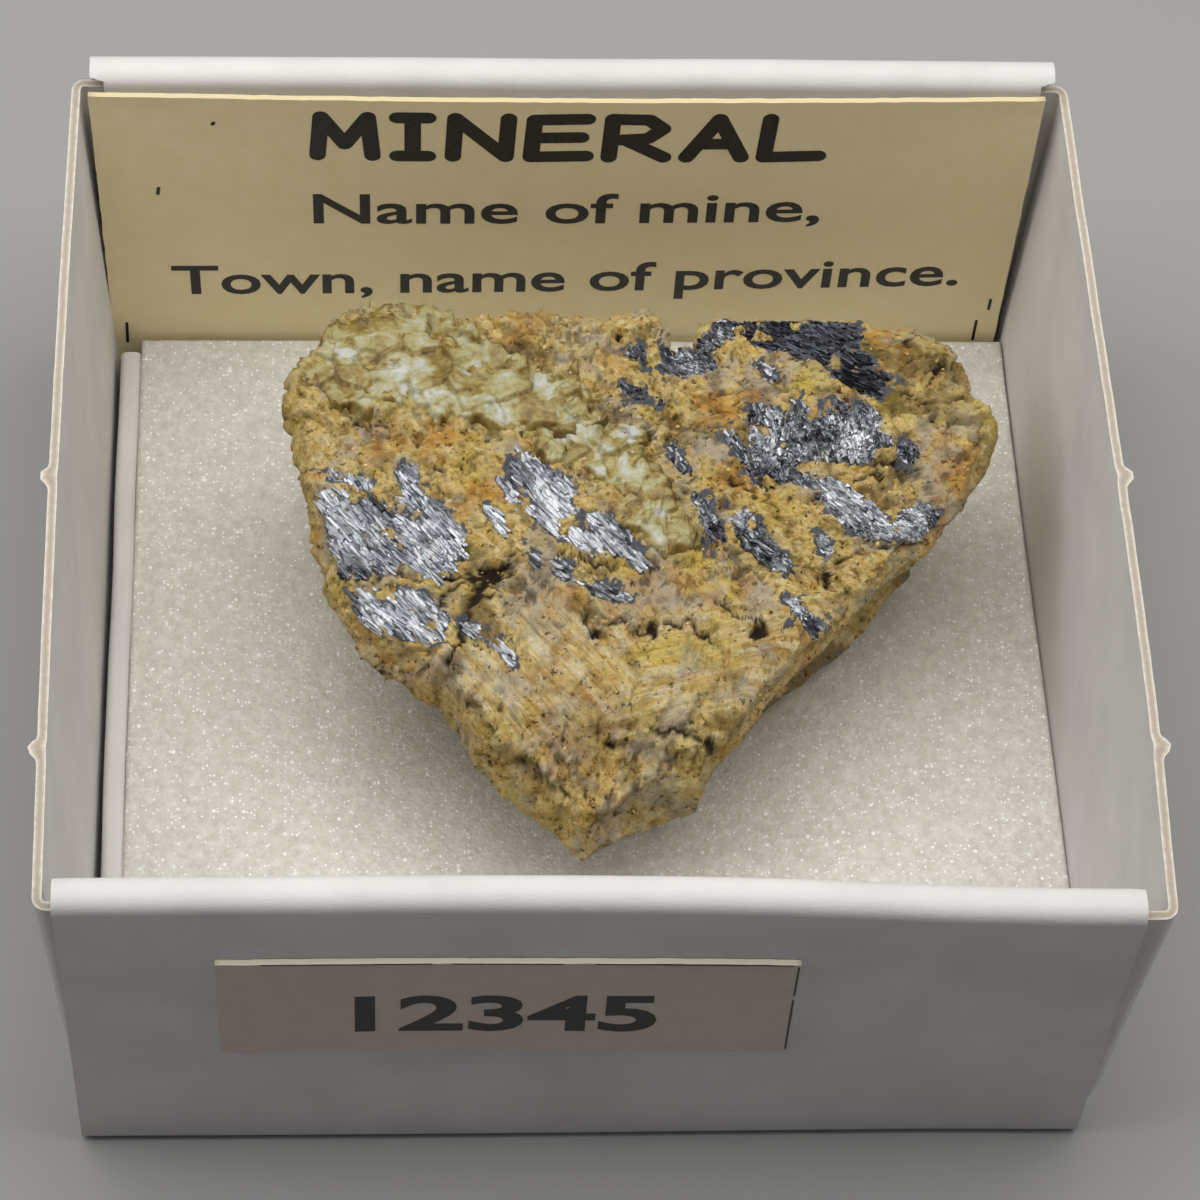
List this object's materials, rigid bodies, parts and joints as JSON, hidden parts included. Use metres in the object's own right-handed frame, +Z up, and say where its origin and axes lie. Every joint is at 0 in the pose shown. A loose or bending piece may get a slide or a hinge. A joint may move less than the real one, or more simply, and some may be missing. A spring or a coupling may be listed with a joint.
{
  "type": "stibnite specimen in a card tray",
  "caption": "Broken vein rock with bladed stibnite and milky quartz, on a foam pad in a small open card tray with a name card and a number label.",
  "frame": {"origin": "middle of the tray's underside", "axes": "+Z up; -Y is the front wall, which carries the number label; +X to the right seen from the front"},
  "size_m": [0.0436, 0.0424, 0.0204],
  "materials": {
    "white_card": "matt white-lined card",
    "white_foam": "fine-celled white foam",
    "cream_card": "matt cream card",
    "grey_card": "matt off-white card",
    "ochre_matrix": "rough earthy ochre rock",
    "milky_quartz": "milky, broken faces",
    "stibnite": "lead-grey metallic blades, striated"
  },
  "bodies": {
    "root": {"card_tray": "white_card", "foam_pad": "white_foam", "name_card": "cream_card", "number_label": "grey_card", "matrix_rock": "ochre_matrix", "quartz_mass": "milky_quartz", "quartz_vein": "milky_quartz", "stibnite_left": "stibnite", "stibnite_left_low": "stibnite", "stibnite_centre": "stibnite", "stibnite_centre_strip": "stibnite", "stibnite_top_middle": "stibnite", "stibnite_top_right": "stibnite", "stibnite_right": "stibnite", "stibnite_right_low": "stibnite", "stibnite_right_tip": "stibnite", "stibnite_vein": "stibnite", "stibnite_lower_middle": "stibnite", "stibnite_spot": "stibnite"}
  },
  "joints": []
}
